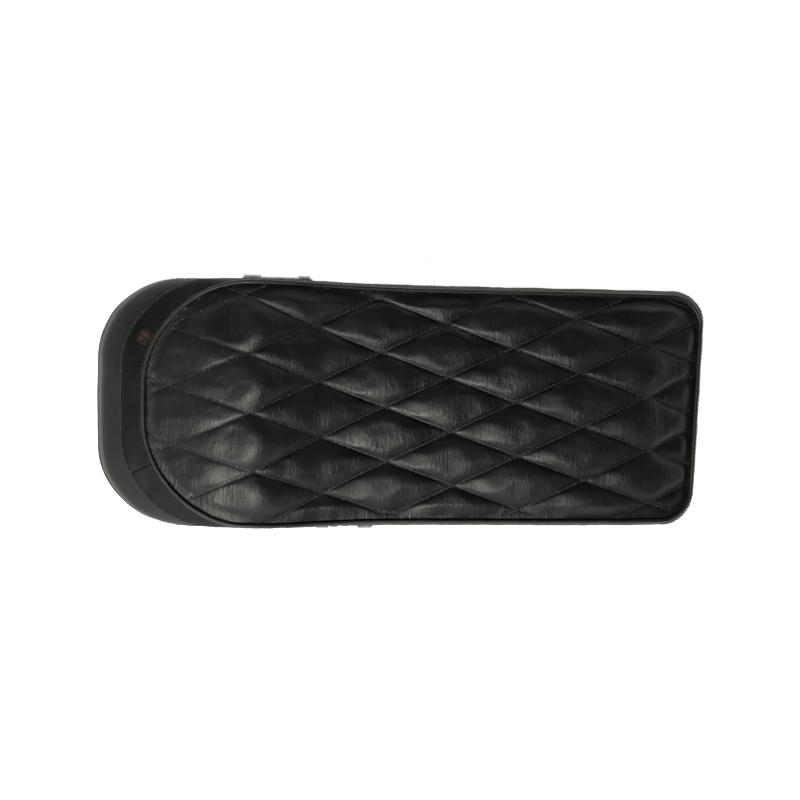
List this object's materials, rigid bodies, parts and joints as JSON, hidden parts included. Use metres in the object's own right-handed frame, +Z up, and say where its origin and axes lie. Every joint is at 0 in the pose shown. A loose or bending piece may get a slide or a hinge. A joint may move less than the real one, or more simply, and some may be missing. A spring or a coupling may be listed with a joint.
{
  "type": "motorcycle seat",
  "caption": "Long quilted motorcycle bench seat with a raised rear, on a steel pan with rubber buffers, a side hinge and a catch.",
  "frame": {"origin": "middle of the plane that the four rubber buffers stand on, under the centre of the seat's plan", "axes": "+X towards the front of the motorcycle, along the seat; +Y towards its left side, where the hinge is; +Z up"},
  "size_m": [0.6422, 0.27, 0.1209],
  "materials": {
    "quilt_leather": "satin",
    "side_vinyl": "matte",
    "welt_vinyl": "satin",
    "wadding": "matte",
    "foam": "matte",
    "pan_paint": "satin",
    "zinc_steel": "satin",
    "spring_steel": "satin",
    "buffer_rubber": "matte"
  },
  "bodies": {
    "seat": {"seat_pan": "pan_paint", "foam_core": "foam", "quilt_wadding": "wadding", "quilted_panel": "quilt_leather", "welt_piping": "welt_vinyl", "band_rear": "quilt_leather", "band_front": "quilt_leather", "skirt_front": "side_vinyl", "skirt_left": "side_vinyl", "skirt_rear": "side_vinyl", "skirt_right": "side_vinyl", "cross_member_front": "pan_paint", "cross_member_rear": "pan_paint", "buffer_front_left": "buffer_rubber", "buffer_front_right": "buffer_rubber", "buffer_rear_left": "buffer_rubber", "buffer_rear_right": "buffer_rubber", "hem_clip_left_1": "spring_steel", "hem_clip_left_2": "spring_steel", "hem_clip_left_3": "spring_steel", "hem_clip_left_4": "spring_steel", "hem_clip_right_1": "spring_steel", "hem_clip_right_2": "spring_steel", "hem_clip_right_3": "spring_steel", "hem_clip_right_4": "spring_steel", "hem_clip_front_1": "spring_steel", "hem_clip_front_2": "spring_steel", "hem_clip_rear_1": "spring_steel", "hinge_bracket": "zinc_steel", "hinge_bracket_bolt_1": "zinc_steel", "hinge_bracket_bolt_2": "zinc_steel", "hinge_pin": "zinc_steel", "hinge_ring": "spring_steel", "latch_bracket": "zinc_steel", "latch_bracket_bolt_1": "zinc_steel", "latch_bracket_bolt_2": "zinc_steel", "latch_pin": "zinc_steel", "latch_ring": "spring_steel", "latch_spring": "spring_steel"},
    "hinge_leaf": {"hinge_leaf": "zinc_steel"},
    "latch_hook": {"latch_hook": "spring_steel"}
  },
  "joints": [
    {"name": "hinge_swing", "type": "hinge", "parent": "seat", "child": "hinge_leaf", "pos_m": [-0.13425, 0.1285, 0.017], "axis": [1, 0, 0], "range_deg": [0, 75]},
    {"name": "latch_hook_release", "type": "hinge", "parent": "seat", "child": "latch_hook", "pos_m": [-0.073, -0.1285, 0.017], "axis": [-1, 0, 0], "range_deg": [0, 35], "stiffness_Nm_per_rad": 0.03, "springref_deg": -28.65, "deforming": ["latch_spring"]}
  ]
}
